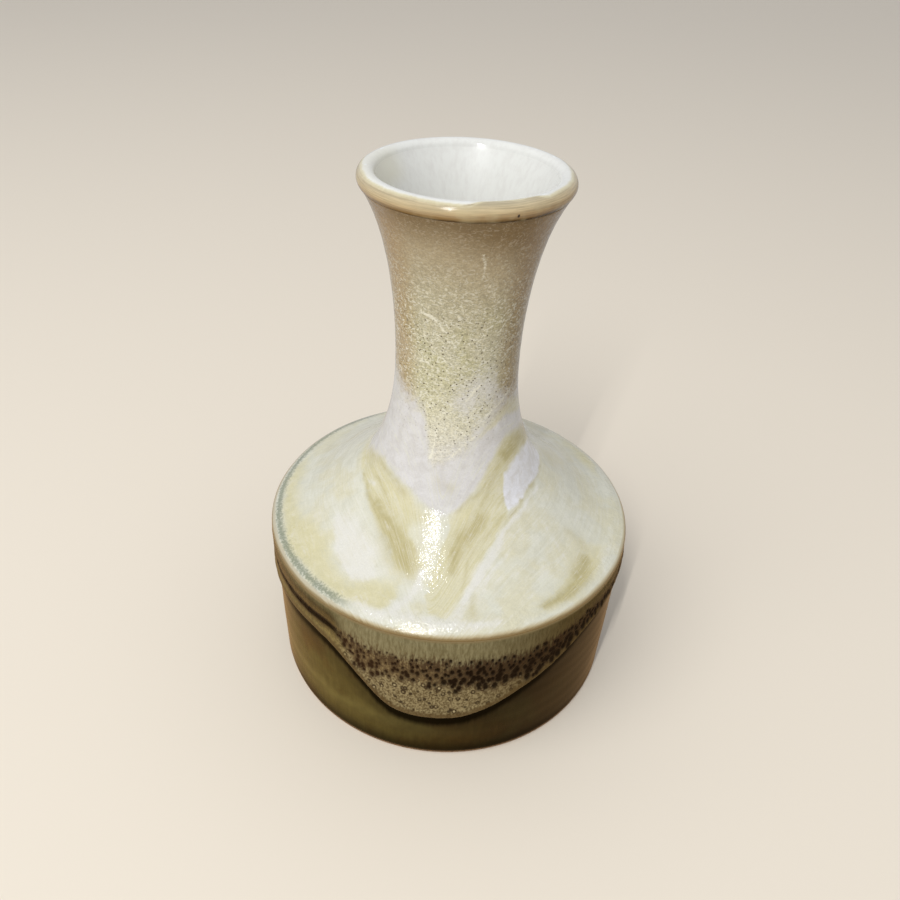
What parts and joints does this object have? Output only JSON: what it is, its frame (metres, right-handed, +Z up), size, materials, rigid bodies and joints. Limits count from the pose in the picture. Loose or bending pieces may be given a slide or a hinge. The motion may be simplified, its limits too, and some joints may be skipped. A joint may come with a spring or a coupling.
{
  "type": "stoneware vase",
  "caption": "Wheel-thrown stoneware vase: drum body, shoulder sweeping into a waisted neck with a rolled lip, layered running glazes.",
  "frame": {"origin": "centre of the foot, on the plane the vase stands on", "axes": "+Z up along the turning axis, -Y towards the side with the long glaze run, +X to that side's right"},
  "size_m": [0.14, 0.14, 0.201],
  "materials": {
    "stoneware_clay": "bare fired stoneware, matte and slightly gritty",
    "white_liner_glaze": "glossy white with faint grey runs",
    "tan_lip_glaze": "satin-gloss ochre, brown-speckled",
    "cream_flow_glaze": "glossy cream and khaki with lilac-white flow streaks",
    "olive_wall_glaze": "high-gloss olive green and brown",
    "cratered_overflow_glaze": "satin khaki with dark burst craters"
  },
  "bodies": {
    "root": {"clay_body": "stoneware_clay", "liner_glaze": "white_liner_glaze", "lip_glaze": "tan_lip_glaze", "neck_and_shoulder_glaze": "cream_flow_glaze", "wall_glaze": "olive_wall_glaze", "overflow_glaze": "cratered_overflow_glaze"}
  },
  "joints": []
}
